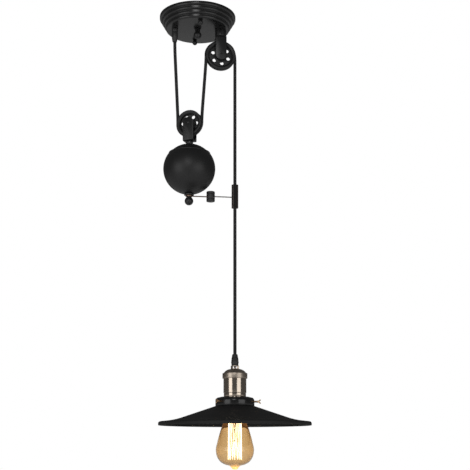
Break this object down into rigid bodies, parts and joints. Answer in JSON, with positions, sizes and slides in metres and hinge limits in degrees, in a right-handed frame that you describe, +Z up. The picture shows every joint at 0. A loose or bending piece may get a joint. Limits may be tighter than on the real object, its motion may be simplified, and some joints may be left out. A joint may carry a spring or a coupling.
{
  "type": "rise and fall pendant light",
  "caption": "Ceiling pendant on a cord over two pulleys: a ball counterweight rises as the wide flat cone shade and its bulb are drawn down.",
  "frame": {"origin": "centre of the ceiling crossbar's two screw slots, in the ceiling plane", "axes": "+Z up into the ceiling, +X from the cord gland to the upper sheave and the lamp, -Y the front; the pendant hangs below z = 0"},
  "size_m": [0.2698, 0.26, 0.8145],
  "materials": {
    "canopy_black": "satin black powder coat",
    "fitting_black": "satin black enamel",
    "sheave_black": "cast, satin black",
    "ball_black": "matt black powder coat",
    "ballast_iron": "raw casting",
    "zinc_steel": "zinc plated",
    "earth_brass": "bright",
    "nylon_black": "moulded nylon",
    "block_plastic": "moulded, natural",
    "core_plastic": "extruded insulation",
    "cord_textile": "black braided sheath",
    "arm_steel": "satin nickel",
    "arm_bronze": "bronzed",
    "arm_black": "black oxide",
    "sleeve_bronze": "gunmetal",
    "holder_bronze": "antique bronze plating, polished",
    "porcelain": "unglazed",
    "gallery_black": "gloss black",
    "shade_black": "matt black powder coat",
    "screw_brass": "polished",
    "bulb_glass": "clear amber glass",
    "bulb_cap": "bright brass",
    "bulb_insulator": "black glass",
    "filament": "glowing wire"
  },
  "bodies": {
    "canopy": {"canopy": "canopy_black", "ceiling_crossbar": "zinc_steel", "canopy_screws": "zinc_steel", "ball_nuts": "fitting_black", "earth_screw": "earth_brass", "centre_knob": "fitting_black", "canopy_nuts": "zinc_steel", "gland_body": "nylon_black", "terminal_block": "block_plastic", "terminal_screws": "earth_brass", "supply_cores": "core_plastic", "upper_collar": "fitting_black", "hanger_bolt": "fitting_black", "upper_fork": "fitting_black", "upper_axle": "fitting_black", "upper_washers": "zinc_steel", "cord_supply_tail": "cord_textile", "cord_fixed_run": "cord_textile", "cord_middle_run": "cord_textile", "cord_upper_loop": "cord_textile", "cord_lamp_run": "cord_textile"},
    "upper_sheave": {"upper_sheave": "sheave_black"},
    "counterweight": {"lower_fork": "fitting_black", "lower_axle": "fitting_black", "lower_washers": "zinc_steel", "rod_nut": "zinc_steel", "neck_collar": "fitting_black", "tie_rod": "zinc_steel", "ball_cap": "ball_black", "ball_bowl": "ball_black", "ballast": "ballast_iron", "bottom_washer": "fitting_black", "finial_knob": "fitting_black", "arm_front_rod": "arm_bronze", "arm_back_rod": "arm_steel", "arm_clamp": "arm_black", "clamp_screws": "arm_steel", "guide_sleeve": "sleeve_bronze", "cord_lower_loop": "cord_textile"},
    "lower_sheave": {"lower_sheave": "sheave_black"},
    "lamp": {"cord_lamp_tail": "cord_textile", "cord_grip": "nylon_black", "yoke": "holder_bronze", "nipple": "holder_bronze", "holder_cap": "holder_bronze", "holder_body": "holder_bronze", "porcelain_insert": "porcelain", "socket_contacts": "earth_brass", "lamp_cores": "core_plastic", "ring_nut": "gallery_black", "shade_gallery": "gallery_black", "shade": "shade_black"},
    "bulb": {"bulb_glass": "bulb_glass", "bulb_cap": "bulb_cap", "bulb_insulator": "bulb_insulator", "bulb_stem": "bulb_glass", "filament": "filament"},
    "thumbscrew_1": {"thumbscrew_1": "screw_brass"},
    "thumbscrew_2": {"thumbscrew_2": "screw_brass"},
    "thumbscrew_3": {"thumbscrew_3": "screw_brass"}
  },
  "joints": [
    {"name": "counterweight_travel", "type": "slide", "parent": "canopy", "child": "counterweight", "axis": [0, 0, 1], "range_m": [-0.08, 0.08], "deforming": ["cord_fixed_run", "cord_middle_run"]},
    {"name": "lamp_travel", "type": "slide", "parent": "canopy", "child": "lamp", "axis": [0, 0, 1], "range_m": [-0.16, 0.16], "deforming": ["cord_lamp_run"]},
    {"name": "upper_sheave_spin", "type": "hinge", "parent": "canopy", "child": "upper_sheave", "pos_m": [0.043, 0, -0.073], "axis": [0, 1, 0], "range_deg": [-343, 343]},
    {"name": "lower_sheave_spin", "type": "hinge", "parent": "counterweight", "child": "lower_sheave", "pos_m": [-0.0126, 0, -0.207], "axis": [0.4695, 0.8829, 0], "range_deg": [-199, 199]},
    {"name": "bulb_turn", "type": "hinge", "parent": "lamp", "child": "bulb", "pos_m": [0.0698, 0, -0.69], "axis": [0, 0, -1], "range_deg": [0, 1080]},
    {"name": "thumbscrew_1_turn", "type": "hinge", "parent": "lamp", "child": "thumbscrew_1", "pos_m": [0.10177, -0.01424, -0.702], "axis": [0.9135, -0.4067, 0], "range_deg": [0, 720]},
    {"name": "thumbscrew_2_turn", "type": "hinge", "parent": "lamp", "child": "thumbscrew_2", "pos_m": [0.04148, -0.02057, -0.702], "axis": [-0.809, -0.5878, 0], "range_deg": [0, 720]},
    {"name": "thumbscrew_3_turn", "type": "hinge", "parent": "lamp", "child": "thumbscrew_3", "pos_m": [0.06614, 0.03481, -0.702], "axis": [-0.1045, 0.9945, 0], "range_deg": [0, 720]}
  ],
  "couplings": [
    {"joint": "lamp_travel", "follows": "counterweight_travel", "ratio": -2},
    {"joint": "upper_sheave_spin", "follows": "counterweight_travel", "rad_per_m": 74.627},
    {"joint": "lower_sheave_spin", "follows": "counterweight_travel", "rad_per_m": -43.103}
  ]
}
